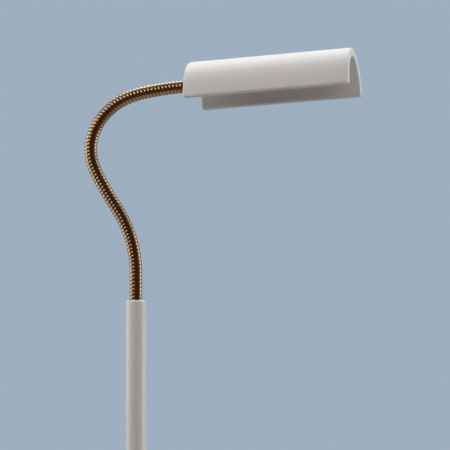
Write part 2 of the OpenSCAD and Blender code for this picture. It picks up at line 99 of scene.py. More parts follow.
# %% [markdown]
# ## Light
# A matte shade wants broad light, and brass shows the shape of whatever it reflects, so all the lights
# are soft boxes rather than points. A large one hangs over the lamp and makes the crown of the shade
# bright. Two strips at the sides draw a cool line down each edge of the pole and of the neck, and a
# smaller box hangs high on the left, where the bend of the neck reflects it. The one in front has a
# grid over it, so that it reaches the shade and little else; the level part of the neck shows it as a
# row of small dots. A wide fill beside the camera softens the shadows. Metal doesn't reflect the fill,
# so the front of the neck stays dark.

# %% Soft lights
COOL = (0.88, 0.95, 1.0)
LIGHTS = {
    # name: place, aim, width and height in metres, watts, colour
    "light_top": ((0.15, 0.48, 2.5), (0.15, 0, 1.3), (2.0, 0.6), 17.3, (1.0, 0.985, 0.96)),
    "light_left": ((-1.5, -0.05, 1.35), (0, 0, 1.1), (0.8, 1.5), 9, COOL),
    "light_right": ((1.45, 0.60, 1.35), (0, 0, 1.1), (0.8, 1.5), 10, COOL),
    "light_high": ((-1.2, -0.7, 1.95), (0, 0, 1.3), (1.4, 0.9), 4.4, (0.95, 0.98, 1.0)),
    "light_front": ((-0.5, -1.5, 2.0), (0.30, 0, 1.43), (1.2, 0.9), 0.42, (1.0, 0.97, 0.95)),
    "light_fill": ((0.9, -2.3, 1.9), (0.2, 0, 1.3), (1.6, 1.2), 11, (1.0, 0.985, 0.97)),
}
GRID_DEGREES = 32


def soft_light(name, place, aim, size, watts, colour):
    data = bpy.data.lights.new(name, "AREA")
    data.shape = "RECTANGLE"
    data.size, data.size_y = size
    data.energy = watts
    data.color = colour
    light = bpy.data.objects.new(name, data)
    scene.collection.objects.link(light)
    light.location = place
    light.rotation_euler = (Vector(aim) - Vector(place)).to_track_quat("-Z", "Y").to_euler()
    return light


lights = {name: soft_light(name, *values) for name, values in LIGHTS.items()}
lights["light_front"].data.spread = math.radians(GRID_DEGREES)
lights["light_fill"].visible_glossy = False
print("lights", {name: round(light.data.energy, 2) for name, light in lights.items()})

# %% [markdown]
# ## Nodes
# In Blender, light and colour are wired from nodes. That can be done by hand in an editor. In a script
# it is long, unless helpers take up what repeats: feed() gives a socket a plain value or another node's
# output, add_node() makes a node and feeds its sockets by name, and math_node() does a sum.

# %% Node helpers
def feed(tree, value, socket):
    """Links an output to a socket, or sets the socket to a plain value."""
    if isinstance(value, bpy.types.NodeSocket):
        tree.links.new(value, socket)
    else:
        socket.default_value = value


def add_node(tree, kind, **values):
    """Adds a node. A key is a socket's name, with _ for its spaces, or else a setting of the node."""
    node = tree.nodes.new(kind)
    for key, value in values.items():
        name = key.replace("_", " ")
        if name in node.inputs:
            feed(tree, value, node.inputs[name])
        else:
            setattr(node, key, value)
    return node


def math_node(tree, operation, *terms, clamp=False):
    """Adds a math node on numbers or outputs, and gives back its own output."""
    node = add_node(tree, "ShaderNodeMath", operation=operation, use_clamp=clamp)
    for term, socket in zip(terms, node.inputs):
        feed(tree, term, socket)
    return node.outputs[0]


world = bpy.data.worlds.new("studio")
scene.world = world
world.use_nodes = True
tree = world.node_tree
print("a new world has the nodes", [node.name for node in tree.nodes])

# %% [markdown]
# ## World
# In a studio the pale walls give the rest of the soft light, brighter from above, darker and warmer
# from below. A picture of a room could stand in for them, but a ramp over the height that a ray comes
# from is enough, and needs no file. What the camera sees behind the lamp is a plain pale tone instead.
# Metal and glass see the same tone, so that they fit the picture.

# %% World
LOW_TONE, HIGH_TONE = (0.116, 0.082, 0.066, 1), (0.20, 0.195, 0.192, 1)
LOW_STOP, HIGH_STOP = 0.35, 0.65
BACKDROP_TONE = (0.34, 0.43, 0.52, 1)
tree.nodes.clear()
rays = add_node(tree, "ShaderNodeLightPath").outputs
seen = math_node(tree, "MAXIMUM", rays["Is Camera Ray"], rays["Is Glossy Ray"])
seen = math_node(tree, "MAXIMUM", seen, rays["Is Transmission Ray"])
ray = add_node(tree, "ShaderNodeTexCoord").outputs["Generated"]
height = add_node(tree, "ShaderNodeSeparateXYZ", Vector=ray).outputs["Z"]
from_below = add_node(tree, "ShaderNodeMapRange", Value=height, From_Min=-1).outputs[0]
tone = add_node(tree, "ShaderNodeValToRGB", Fac=from_below)
low_stop, high_stop = tone.color_ramp.elements
low_stop.position, low_stop.color = LOW_STOP, LOW_TONE
high_stop.position, high_stop.color = HIGH_STOP, HIGH_TONE
fill = add_node(tree, "ShaderNodeBackground", Color=tone.outputs["Color"])
backdrop = add_node(tree, "ShaderNodeBackground", Color=BACKDROP_TONE)
choose = add_node(tree, "ShaderNodeMixShader")
for source, socket in zip((seen, fill.outputs[0], backdrop.outputs[0]), choose.inputs):
    feed(tree, source, socket)
add_node(tree, "ShaderNodeOutputWorld", Surface=choose.outputs[0])
print("world nodes", len(tree.nodes), "backdrop", BACKDROP_TONE[:3])

# %% [markdown]
# ## Floor
# The lamp stands on a wide pale disc that thins out to nothing towards its rim, so that there is no
# horizon line. A curved sweep of paper would hide the horizon too, but it would stand in the way of the
# views from behind. The disc is clear from below, so that the foot can be looked at from there.

# %% Floor
FLOOR_TONE, FLOOR_ROUGHNESS = (0.83, 0.85, 0.87, 1), 0.7
FLOOR_RADIUS, FLOOR_SIDES = 1.3, 64
FADE_FROM, FADE_TO = 0.3, 1.2


def mesh_object(name, points, faces, material):
    mesh = bpy.data.meshes.new(name)
    mesh.from_pydata([tuple(p) for p in points], [], [tuple(f) for f in faces])
    mesh.validate()
    mesh.update()
    mesh.materials.append(material)
    piece = bpy.data.objects.new(name, mesh)
    scene.collection.objects.link(piece)
    return piece


floor_paint = bpy.data.materials.new("pale_floor")
floor_paint.use_nodes = True
tree = floor_paint.node_tree
shader = tree.nodes["Principled BSDF"].inputs
shader["Base Color"].default_value = FLOOR_TONE
shader["Roughness"].default_value = FLOOR_ROUGHNESS
place = add_node(tree, "ShaderNodeTexCoord").outputs["Object"]
reach = add_node(tree, "ShaderNodeVectorMath", operation="LENGTH", Vector=place).outputs["Value"]
thin = add_node(
    tree,
    "ShaderNodeMapRange",
    interpolation_type="SMOOTHSTEP",
    Value=reach,
    From_Min=FADE_FROM,
    From_Max=FADE_TO,
    To_Min=1,
    To_Max=0,
)
underside = add_node(tree, "ShaderNodeNewGeometry").outputs["Backfacing"]
feed(tree, math_node(tree, "SUBTRACT", thin.outputs[0], underside, clamp=True), shader["Alpha"])
floor_angles = [2 * math.pi / FLOOR_SIDES * i for i in range(FLOOR_SIDES)]
floor_rim = [(FLOOR_RADIUS * math.cos(angle), FLOOR_RADIUS * math.sin(angle), 0) for angle in floor_angles]
floor = mesh_object("floor", floor_rim, [range(FLOOR_SIDES)], floor_paint)
print("floor", FLOOR_RADIUS, "m in radius, solid to", FADE_FROM, "m")

# %% [markdown]
# ## Card
# Without something dark in front, polished metal in a pale room looks flat, so photographers set up a
# dark card. This one is brown and stands behind the camera. It is a patch of a sphere, which every turn
# of the neck reflects in the same way. Only reflections see it.

# %% Card
CARD_BROWN = (0.24, 0.070, 0.012, 1)
CARD_RADIUS, CARD_HEIGHT = 3.0, 1.2
ACROSS_DEGREES, UPWARD_DEGREES = (-135, -11), (-50, 55)
CARD_COLUMNS, CARD_ROWS = 17, 13


def ring_faces(low, high, count, flip=False, closed=True):
    """Quads between two rows of points. An open row doesn't join its ends."""
    faces = []
    for j in range(count if closed else count - 1):
        k = (j + 1) % count
        quad = (low + j, low + k, high + k, high + j)
        faces.append((quad[0], quad[3], quad[2], quad[1]) if flip else quad)
    return faces


def spaced(limits, count):
    low, high = limits
    return [math.radians(low + (high - low) * i / (count - 1)) for i in range(count)]


card_paint = bpy.data.materials.new("dark_card")
card_paint.use_nodes = True
card_paint.node_tree.nodes["Principled BSDF"].inputs["Base Color"].default_value = CARD_BROWN
card_points, card_faces = [], []
for up in spaced(UPWARD_DEGREES, CARD_ROWS):
    out, z = CARD_RADIUS * math.cos(up), CARD_HEIGHT + CARD_RADIUS * math.sin(up)
    card_points += [(out * math.cos(a), out * math.sin(a), z) for a in spaced(ACROSS_DEGREES, CARD_COLUMNS)]
for low in range(0, CARD_COLUMNS * (CARD_ROWS - 1), CARD_COLUMNS):
    card_faces += ring_faces(low, low + CARD_COLUMNS, CARD_COLUMNS, closed=False)
card = mesh_object("card", card_points, card_faces, card_paint)
card.visible_camera = card.visible_diffuse = card.visible_shadow = card.visible_transmission = False
print("stage", floor.name, card.name, len(card_faces), "faces")

# %% [markdown]
# ## Shared effect: uneven tone
# No real coat has one even colour. A slow noise makes it a little lighter and darker. It could be wired
# into each material by hand, but a node group with named inputs is built once, and each finish then
# only chooses its values.

# %% Group: uneven tone
def new_group(name, inputs, output):
    """A group with a Vector and more named inputs, each a kind and a value, and one named output."""
    group = bpy.data.node_groups.new(name, "ShaderNodeTree")
    group.interface.new_socket("Vector", in_out="INPUT", socket_type="NodeSocketVector")
    for label, kind, value in inputs:
        socket = group.interface.new_socket(label, in_out="INPUT", socket_type="NodeSocket" + kind)
        socket.default_value = value
    label, kind = output
    group.interface.new_socket(label, in_out="OUTPUT", socket_type="NodeSocket" + kind)
    return group, group.nodes.new("NodeGroupInput").outputs, group.nodes.new("NodeGroupOutput").inputs


def noise(group, place, scale, detail, rough):
    node = add_node(group, "ShaderNodeTexNoise", Vector=place, Scale=scale, Detail=detail, Roughness=rough)
    return node.outputs["Fac"]


uneven_tone, given, made = new_group(
    "uneven_tone",
    [("Color", "Color", (0.8, 0.8, 0.8, 1)), ("Scale", "Float", 20.0), ("Spread", "Float", 0.03)],
    ("Color", "Color"),
)
cloud = noise(uneven_tone, given["Vector"], given["Scale"], detail=4.0, rough=0.6)
off_middle = math_node(uneven_tone, "SUBTRACT", cloud, 0.5)
swing = math_node(uneven_tone, "MULTIPLY_ADD", off_middle, given["Spread"], 1.0)
tint = add_node(uneven_tone, "ShaderNodeVectorMath", operation="SCALE", Vector=given["Color"], Scale=swing)
feed(uneven_tone, tint.outputs["Vector"], made["Color"])
print("group", uneven_tone.name, "with", len(uneven_tone.nodes), "nodes")

# %% [markdown]
# ## Shared effect: fine grain
# Sprayed paint, cast plaster and moulded plastic have a fine grain on top of slow waves. Grain in the
# mesh would need millions of faces, so two noises are mixed into one height. A finish uses it for its
# bump and for its roughness, because what is rough to the finger is also rough to the light.

# %% Group: fine grain
fine_grain, given, made = new_group(
    "fine_grain",
    [("Fine", "Float", 900.0), ("Broad", "Float", 60.0), ("Broad Share", "Float", 0.3)],
    ("Height", "Float"),
)
fine = noise(fine_grain, given["Vector"], given["Fine"], detail=3.0, rough=0.55)
broad = noise(fine_grain, given["Vector"], given["Broad"], detail=2.0, rough=0.5)
mixed = add_node(fine_grain, "ShaderNodeMix", Factor=given["Broad Share"], A=fine, B=broad)
feed(fine_grain, mixed.outputs["Result"], made["Height"])
print("group", fine_grain.name, "with", len(fine_grain.nodes), "nodes")

# %% [markdown]
# ## Shared effect: settled dust
# Dust lies in patches on whatever faces up. It could be painted on each piece. A mask from the
# surface's own normal needs no painting, and falls in the right place on every piece.

# %% Group: settled dust
LIES_FROM, LIES_FULLY = 0.55, 1.0
settled_dust, given, made = new_group(
    "settled_dust", [("Amount", "Float", 0.2), ("Scale", "Float", 35.0)], ("Mask", "Float")
)
normal = add_node(settled_dust, "ShaderNodeNewGeometry").outputs["Normal"]
upright = add_node(settled_dust, "ShaderNodeSeparateXYZ", Vector=normal).outputs["Z"]
facing_up = add_node(
    settled_dust,
    "ShaderNodeMapRange",
    interpolation_type="SMOOTHSTEP",
    Value=upright,
    From_Min=LIES_FROM,
    From_Max=LIES_FULLY,
)
patches = noise(settled_dust, given["Vector"], given["Scale"], detail=6.0, rough=0.7)
lying = math_node(settled_dust, "MULTIPLY", facing_up.outputs[0], patches)
feed(settled_dust, math_node(settled_dust, "MULTIPLY", lying, given["Amount"]), made["Mask"])
print("group", settled_dust.name, "with", len(settled_dust.nodes), "nodes")

# %% [markdown]
# ## Shared effect: rubbed edges
# Shoes and hands rub the edges of rubber and plastic paler. Pointiness tells how sharply a mesh turns
# at a point, so the mask needs no painting either. A noise breaks it up, because wear is never even.

# %% Group: rubbed edges
rubbed_edges, given, made = new_group(
    "rubbed_edges",
    [("From", "Float", 0.53), ("To", "Float", 0.62), ("Scale", "Float", 120.0)],
    ("Mask", "Float"),
)
pointiness = add_node(rubbed_edges, "ShaderNodeNewGeometry").outputs["Pointiness"]
ridge = add_node(
    rubbed_edges,
    "ShaderNodeMapRange",
    interpolation_type="SMOOTHSTEP",
    Value=pointiness,
    From_Min=given["From"],
    From_Max=given["To"],
)
breaks = noise(rubbed_edges, given["Vector"], given["Scale"], detail=5.0, rough=0.65)
feed(rubbed_edges, math_node(rubbed_edges, "MULTIPLY", ridge.outputs[0], breaks), made["Mask"])
print("group", rubbed_edges.name, "with", len(rubbed_edges.nodes), "nodes")

# %% [markdown]
# ## Shared effect: hairlines
# Turned or drawn metal has fine lines along one direction. A noise whose coordinates are stretched
# first draws them. That is simpler than a wave pattern, which would be too regular.

# %% Group: hairlines
hairlines, given, made = new_group(
    "hairlines", [("Stretch", "Vector", (1.0, 1.0, 0.04)), ("Scale", "Float", 900.0)], ("Value", "Float")
)
pulled = add_node(hairlines, "ShaderNodeVectorMath", operation="MULTIPLY", Vector=given["Vector"])
feed(hairlines, given["Stretch"], pulled.inputs[1])
drawn = noise(hairlines, pulled.outputs["Vector"], given["Scale"], detail=3.0, rough=0.6)
feed(hairlines, drawn, made["Value"])
print("group", hairlines.name, "with", len(hairlines.nodes), "nodes")

# %% [markdown]
# ## Start of a finish
# A finish is a material with one Principled shader. Each starts in the same way: with plain values on
# the shader's own sockets, a bump, and the object's own coordinates, which move with the piece where
# the world's would slide over it. The helpers below do that, place a group, spread a mask over a range
# and mix two colours.

# %% Start of a finish
def start_finish(name, bump_mm, **plain):
    """Gives back a new material, its tree, its shader's inputs, the coordinates and the bump's input."""
    material = bpy.data.materials.new(name)
    material.use_nodes = True
    tree = material.node_tree
    shader = tree.nodes["Principled BSDF"].inputs
    for key, value in plain.items():
        shader[key.replace("_", " ")].default_value = value
    place = add_node(tree, "ShaderNodeTexCoord").outputs["Object"]
    bump = add_node(tree, "ShaderNodeBump", Strength=1.0, Distance=bump_mm * MM)
    feed(tree, bump.outputs["Normal"], shader["Normal"])
    return material, tree, shader, place, bump.inputs["Height"]


def use_group(tree, group, place, **values):
    """Places a group with its own values, and gives back its output."""
    return add_node(tree, "ShaderNodeGroup", node_tree=group, Vector=place, **values).outputs[0]


def spread(tree, mask, low, high):
    """Maps a mask from 0 to 1 onto low to high."""
    return add_node(tree, "ShaderNodeMapRange", Value=mask, To_Min=low, To_Max=high).outputs[0]


def mix_colour(tree, mask, first, second):
    node = add_node(tree, "ShaderNodeMix", data_type="RGBA", Factor=mask)
    # the node has two inputs and a result for each kind of value, and these are the colours' own
    feed(tree, first, node.inputs[6])
    feed(tree, second, node.inputs[7])
    return node.outputs[2]


def roughen(tree, shader, bump, height, low, high):
    """Uses one height for the bump and, from low to high, for the roughness."""
    feed(tree, height, bump)
    feed(tree, spread(tree, height, low, high), shader["Roughness"])


print("groups to choose from", [group.name for group in bpy.data.node_groups])

# %% [markdown]
# ## Painted metal
# The pole, the foot and the collar are powder coated: a satin white with a very fine orange peel that
# breaks up its shine, and a trace of dust on what faces up. The peel is bump, since it is far finer
# than any mesh.

# %% White paint
DUST = (0.52, 0.49, 0.45, 1)
white_paint, tree, shader, place, bump = start_finish("white_paint", bump_mm=0.08)
tone = use_group(tree, uneven_tone, place, Color=(0.80, 0.79, 0.78, 1), Scale=14.0, Spread=0.05)
dusty = use_group(tree, settled_dust, place, Amount=0.12, Scale=45.0)
feed(tree, mix_colour(tree, dusty, tone, DUST), shader["Base Color"])
peel = use_group(tree, fine_grain, place, Fine=850.0, Broad=110.0, Broad_Share=0.35)
roughen(tree, shader, bump, peel, low=0.34, high=0.46)
print("finish", white_paint.name, "with", len(tree.nodes), "nodes")

# %% [markdown]
# ## The shade's body
# The shade is thick and matte, like cast plaster under a thin coat: softer than the painted pole, with
# slow waves in its surface and hardly any shine. It is wired as the paint is, with broader waves and a
# lower specular level.

# %% Shade finish
plaster, tree, shader, place, bump = start_finish("plaster", bump_mm=0.03, Specular_IOR_Level=0.42)
tone = use_group(tree, uneven_tone, place, Color=(0.81, 0.80, 0.79, 1), Scale=22.0, Spread=0.05)
feed(tree, tone, shader["Base Color"])
waves = use_group(tree, fine_grain, place, Fine=620.0, Broad=38.0, Broad_Share=0.55)
roughen(tree, shader, bump, waves, low=0.46, high=0.62)
print("finish", plaster.name, "with", len(tree.nodes), "nodes")

# %% [markdown]
# ## Brass
# The wound neck is a deep brass, almost bronze, under a clear lacquer. The lacquer gives the crests
# pale highlights over the dark metal. In the grooves between the turns the colour is painted dark brown
# and the lacquer is taken out: painted shade where the turns shade each other, which also cuts the
# reflections there, with some patina. The mask could come from Pointiness, but the mesh knows its
# grooves better: it carries a value named groove, from 0 on a crest to 1 in a groove. On the plain
# turned pieces that value is 0.

# %% Brass
# the groove colour is painted shade between the turns, with some patina
CREST_BRASS, GROOVE_SHADE_AND_PATINA = (0.31, 0.175, 0.060, 1), (0.07, 0.022, 0.005, 1)
GROOVE_ROUGHER = 0.25
brass, tree, shader, place, bump = start_finish("brass", bump_mm=0.02, Metallic=1.0, Coat_Roughness=0.12)
groove = add_node(tree, "ShaderNodeAttribute", attribute_name="groove").outputs["Fac"]
# in the grooves the lacquer is taken out and the colour turns dark brown: painted shade
feed(tree, spread(tree, groove, low=1.0, high=0.1), shader["Coat Weight"])
tone = use_group(tree, uneven_tone, place, Color=CREST_BRASS, Scale=90.0, Spread=0.18)
feed(tree, mix_colour(tree, groove, tone, GROOVE_SHADE_AND_PATINA), shader["Base Color"])
lines = use_group(tree, hairlines, place, Stretch=(1.0, 1.0, 0.15), Scale=700.0)
feed(tree, lines, bump)
worn = spread(tree, lines, low=0.17, high=0.31)
feed(tree, math_node(tree, "MULTIPLY_ADD", groove, GROOVE_ROUGHER, worn), shader["Roughness"])
print("finish", brass.name, "with", len(tree.nodes), "nodes")

# %% [markdown]
# ## Steel, iron and zinc
# Screws and nuts are bright steel with fine turning lines. The bottom plate is zinc plated, which shows
# as patches of slightly different grey. The weight inside the foot is rough cast iron. All three are
# bare metal and differ only in values, so one function makes them.

# %% Bare metals
METALS = {
    # finish: colour, roughness, stretch of its lines, scale and spread of its tone, bump in mm
    "steel": ((0.60, 0.60, 0.61, 1), 0.30, (1.0, 1.0, 0.2), 150.0, 0.10, 0.02),
    "zinc_plate": ((0.52, 0.53, 0.54, 1), 0.42, (0.06, 1.0, 1.0), 60.0, 0.35, 0.02),
    "cast_iron": ((0.10, 0.10, 0.105, 1), 0.62, (1.0, 1.0, 1.0), 80.0, 0.3, 0.3),
}
LINES_ROUGHEN = 0.08


def metal_finish(name, colour, rough, stretch, tone_scale, tone_spread, bump_mm):
    material, tree, shader, place, bump = start_finish(name, bump_mm, Metallic=1.0)
    tone = use_group(tree, uneven_tone, place, Color=colour, Scale=tone_scale, Spread=tone_spread)
    feed(tree, tone, shader["Base Color"])
    lines = use_group(tree, hairlines, place, Stretch=stretch, Scale=1100.0)
    roughen(tree, shader, bump, lines, rough - LINES_ROUGHEN, rough + LINES_ROUGHEN)
    return material


steel, zinc, iron = (metal_finish(name, *values) for name, values in METALS.items())
print("finishes", steel.name, zinc.name, iron.name)

# %% [markdown]
# ## Rubber and plastic
# The pads, the plug and the lead's inlet are black rubber, dull and slightly chalky. The switch is
# moulded plastic with a fine grain from its mould. Both get dust and paler edges from the shared
# groups, since they are what a shoe touches.

# %% Rubber and plastic
MOULDED = {
    # finish: colour, roughness, scale of its grain, bump in mm, dust
    "rubber": ((0.028, 0.027, 0.026, 1), 0.78, 1400.0, 0.1, 0.25),
    "black_plastic": ((0.030, 0.030, 0.032, 1), 0.48, 1900.0, 0.06, 0.15),
}
GRAIN_ROUGHENS = 0.1
BROADER = 8
RUBBED_SHARE, RUBBED_LIFT = 0.5, 0.09


def moulded_finish(name, colour, rough, fine, bump_mm, dust):
    material, tree, shader, place, bump = start_finish(name, bump_mm)
    tone = use_group(tree, uneven_tone, place, Color=colour, Scale=70.0, Spread=0.25)
    paler = tuple(RUBBED_SHARE * v + RUBBED_LIFT for v in colour[:3]) + (1,)
    rubbed = mix_colour(tree, use_group(tree, rubbed_edges, place), tone, paler)
    dusty = use_group(tree, settled_dust, place, Amount=dust, Scale=160.0)
    feed(tree, mix_colour(tree, dusty, rubbed, DUST), shader["Base Color"])
    grain = use_group(tree, fine_grain, place, Fine=fine, Broad=fine / BROADER, Broad_Share=0.25)
    roughen(tree, shader, bump, grain, rough - GRAIN_ROUGHENS, rough + GRAIN_ROUGHENS)
    return material


rubber, black_plastic = (moulded_finish(name, *values) for name, values in MOULDED.items())
print("finishes", rubber.name, black_plastic.name)

# %% [markdown]
# ## Porcelain and glass
# The lampholder is glazed porcelain, and a clear coat gives the glaze its second, sharper shine. The
# bulb is clear glass. Very slight waves keep the reflections of both from being perfect.

# %% Porcelain and glass
porcelain, tree, shader, place, bump = start_finish(
    "porcelain", bump_mm=0.03, Coat_Weight=0.5, Coat_Roughness=0.06
)
tone = use_group(tree, uneven_tone, place, Color=(0.80, 0.78, 0.73, 1), Scale=110.0, Spread=0.06)
feed(tree, tone, shader["Base Color"])
glaze = use_group(tree, fine_grain, place, Fine=260.0, Broad=70.0, Broad_Share=0.7)
roughen(tree, shader, bump, glaze, low=0.12, high=0.24)
glass, tree, shader, place, bump = start_finish(
    "bulb_glass", bump_mm=0.02, Base_Color=(0.97, 0.98, 0.98, 1), Transmission_Weight=1.0, IOR=1.46
)
waves = use_group(tree, fine_grain, place, Fine=90.0, Broad=30.0, Broad_Share=0.6)
roughen(tree, shader, bump, waves, low=0.0, high=0.03)
print("finishes", porcelain.name, glass.name)

# %% [markdown]
# ## Finishes on the frame's own nodes
# A node whose shape is already right keeps its mesh and only gets its finish. It would also be possible
# to build every piece again, but a shape that exists once can't disagree with itself.

# %% Paint the nodes
FINISHES = {
    white_paint: "base_cover foot_collar pole_lower pole_upper pole_cap switch_bezel shade_bracket",
    plaster: "shade",
    brass: "neck_root neck_ferrule neck_nipple shade_inserts lampholder_shell lampholder_contact bulb_cap "
    + " ".join(name for name in nodes if name.startswith("neck_link_")),
    steel: "plate_screws pole_socket socket_bolt socket_washer collar_screw switch_spring pole_coupler "
    "cap_screw lock_nut bracket_screws bulb_filament",
    zinc: "base_plate",
    iron: "base_weight",
    rubber: "base_pads base_plug cord_inlet",
    black_plastic: "switch_body switch_button",
    porcelain: "lampholder_cap lampholder_body",
    glass: "bulb_glass",
}
painted = [(name, finish) for finish, names in FINISHES.items() for name in names.split()]
for name, finish in painted:
    nodes[name].data.materials.clear()
    nodes[name].data.materials.append(finish)
print("nodes with a finish", len(painted), "of", len(nodes))

# %% [markdown]
# ## The neck
# A gooseneck is a strip wound into a tube that stays where it is bent. The frame has it as twenty short
# sections with a hinge between each two. Twenty rigid ribbed tubes would show gaps when they bend, so
# here it is one smooth wound tube, cut in the middle of each section, where nothing bends. Each piece
# then reaches across one hinge. The first step is to read the hinges and the way each section points.

# %% Sections of the neck
SECTION_COUNT = 20
hinges = [np.array(joint_to[f"neck_{k + 1:02d}"]["pos_m"], float) for k in range(SECTION_COUNT)]
neck_end = np.array(joint_to["shade"]["pos_m"], float)
section_runs = [high - low for low, high in zip(hinges, hinges[1:] + [neck_end])]
headings = [math.atan2(run[0], run[2]) for run in section_runs]
section_length = float(np.linalg.norm(section_runs[0]))
end_degrees = round(math.degrees(headings[-1]), 2)
print("sections of", round(section_length / MM, 2), "mm, the last", end_degrees, "degrees from upright")

# %% [markdown]
# Between two cuts the tube's centre follows a circular arc, which runs straight on from one section's
# axis to the next one's. A spline through the hinges would be smooth too, but it would cut their
# corners, and the ends of the pieces would no longer lie on the sections' axes.

# %% Centre line of the neck
TURNS_PER_SECTION, RINGS_PER_TURN = 4, 24
PITCH = section_length / TURNS_PER_SECTION
HALF_SECTION = section_length / 2
STRAIGHT = 1e-6
SUNK_IN_CAP = 0.1 * MM
NEAR_FERRULE = 1.4 * MM


def direction(heading):
    return np.array([math.sin(heading), 0, math.cos(heading)])


def arc_station(along, hinge, before, after):
    """Centre, heading and place along the unbent tube, for a ring at some distance from a hinge."""
    first = hinge - HALF_SECTION * direction(before)
    if along <= -HALF_SECTION:
        return first + (along + HALF_SECTION) * direction(before), before, along
    if along >= HALF_SECTION:
        return hinge + along * direction(after), after, along
    turn = after - before
    share = (along + HALF_SECTION) / section_length
    if abs(turn) < STRAIGHT:
        return first + section_length * share * direction(before), before, along
    heading = before + turn * share
    radius = section_length * (turn / 2) / math.tan(turn / 2) / turn
    chord = np.array([math.cos(before) - math.cos(heading), 0, math.sin(heading) - math.sin(before)])
    return first + radius * chord, heading, along


pole_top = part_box("pole_cap")[1].z
neck_runs = []
for k in range(SECTION_COUNT):
    back = HALF_SECTION if k else hinges[0][2] - pole_top + SUNK_IN_CAP
    ahead = HALF_SECTION if k < SECTION_COUNT - 1 else section_length - NEAR_FERRULE
    count = round((back + ahead) / PITCH * RINGS_PER_TURN)
    steps = [-back + (back + ahead) * i / count for i in range(count + 1)]
    neck_runs.append([arc_station(step, hinges[k], headings[max(k - 1, 0)], headings[k]) for step in steps])
print("rings along the neck", sum(len(stations) for stations in neck_runs))

# %% [markdown]
# The wound strip has broad, gently rounded crests with narrow grooves between them. The section of one
# turn is a shallow arc, and near its ends a second, steeper step drops into the groove. A sine would be
# simpler, but its grooves would be as wide as its crests.

# %% Shape of one turn
NECK_RADIUS = 7.9 * MM
CREST_RADIUS = 9.0 * MM
GROOVE_STEP = 0.5 * MM
# the painted shade in the grooves starts a little before the groove's step
STEP_FROM, GROOVE_SHADE_FROM, STEP_WIDTH = 0.41, 0.37, 0.08


def turn_section(phase):
    """Depth below the crest, and a groove value from 0 to 1 that masks the painted shade, at a phase of 0
    to 1 along one turn.
    """
    off = np.abs(phase - 0.5)
    step, groove_shade = (np.clip((off - start) / STEP_WIDTH, 0, 1) for start in (STEP_FROM, GROOVE_SHADE_FROM))
    crest = CREST_RADIUS - np.sqrt(CREST_RADIUS**2 - (off * PITCH) ** 2)
    return crest + GROOVE_STEP * step * step * (3 - 2 * step), groove_shade


groove_depth = float(turn_section(np.array([0.0]))[0][0])
print("pitch", round(PITCH / MM, 2), "mm, groove depth", round(groove_depth / MM, 2), "mm")

# %% [markdown]
# The turns climb by one pitch as they go round, as on a right-hand screw. A screw modifier could sweep
# the section, but only along a straight axis, so each ring is placed by code. The normals come from the
# whole wound surface, one ring past each cut, so that the light runs over the cuts without a seam.

# %% Skin of the neck
AROUND = 40
RING_ANGLES = 2 * math.pi * np.arange(AROUND) / AROUND


def ring_of(station, origin):
    """Points of the skin round one station, their groove values and the directions outward."""
    centre, heading, along = station
    phase = ((origin + along) / PITCH - RING_ANGLES / (2 * math.pi)) % 1.0
    depth, groove = turn_section(phase)
    sideways = np.array([math.cos(heading), 0, -math.sin(heading)])
    outward = np.outer(np.cos(RING_ANGLES), sideways) + np.outer(np.sin(RING_ANGLES), [0, 1, 0])
    return centre + (NECK_RADIUS - depth)[:, None] * outward, groove, outward


def one_past(last, before):
    return tuple(2 * a - b for a, b in zip(last, before))


def wound_skin(stations, origin):
    """Points, normals, groove values and outward directions of one piece's rings."""
    longer = [one_past(*stations[:2]), *stations, one_past(stations[-1], stations[-2])]
    skin, groove, outward = (np.array(part) for part in zip(*(ring_of(s, origin) for s in longer)))
    along = skin[2:] - skin[:-2]
    around = np.roll(skin, -1, axis=1)[1:-1] - np.roll(skin, 1, axis=1)[1:-1]
    normals = np.cross(around, along)
    normals /= np.linalg.norm(normals, axis=2, keepdims=True)
    return skin[1:-1], normals, groove[1:-1], outward[1:-1]


neck_skins = [wound_skin(stations, k * section_length) for k, stations in enumerate(neck_runs)]
print("points on the neck's skin", sum(skin[0].shape[0] * AROUND for skin in neck_skins))

# %% [markdown]
# Each piece is a closed tube: the wound skin, a plain bore and a flat ring at each end. The groove
# values go into the mesh as an attribute for the brass finish.

# %% Build the neck
BORE_RADIUS = 5.6 * MM
BORE_EVERY = 8


def tube_piece(name, stations, skin, normals, groove, outward):
    """A closed tube between two cuts, with its groove values and the wound surface's normals."""
    count = len(stations)
    bore_at = sorted({*range(0, count, BORE_EVERY), count - 1})
    bore = np.array([stations[i][0] + BORE_RADIUS * outward[i] for i in bore_at])
    top, bore_base = (count - 1) * AROUND, count * AROUND
    bore_top = bore_base + (len(bore_at) - 1) * AROUND
    faces = []
    for low in range(0, top, AROUND):
        faces += ring_faces(low, low + AROUND, AROUND)
    skin_corners = 4 * len(faces)
    for low in range(bore_base, bore_top, AROUND):
        faces += ring_faces(low, low + AROUND, AROUND, flip=True)
    faces += ring_faces(0, bore_base, AROUND, flip=True) + ring_faces(top, bore_top, AROUND)
    piece = mesh_object(name, np.concatenate([skin.reshape(-1, 3), bore.reshape(-1, 3)]), faces, brass)
    mesh = piece.data
    mesh.shade_smooth()
    # the groove values mask the brass's painted shade; the bore counts as groove all through
    groove_shade = np.concatenate([groove.ravel(), np.ones(len(bore) * AROUND)]).astype(np.float32)
    mesh.attributes.new("groove", "FLOAT", "POINT").data.foreach_set("value", groove_shade)
    own = normals.reshape(-1, 3)
    # a normal of zero leaves a corner of the bore or of an end as it is
    mesh.normals_split_custom_set(
        [tuple(own[loop.vertex_index]) if loop.index < skin_corners else (0, 0, 0) for loop in mesh.loops]
    )
    return piece


for k, stations in enumerate(neck_runs):
    piece = tube_piece(f"neck_flex_{k + 1:02d}", stations, *neck_skins[k])
    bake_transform(piece)
    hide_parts(f"neck_link_{k + 1:02d}")
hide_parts("neck_root")

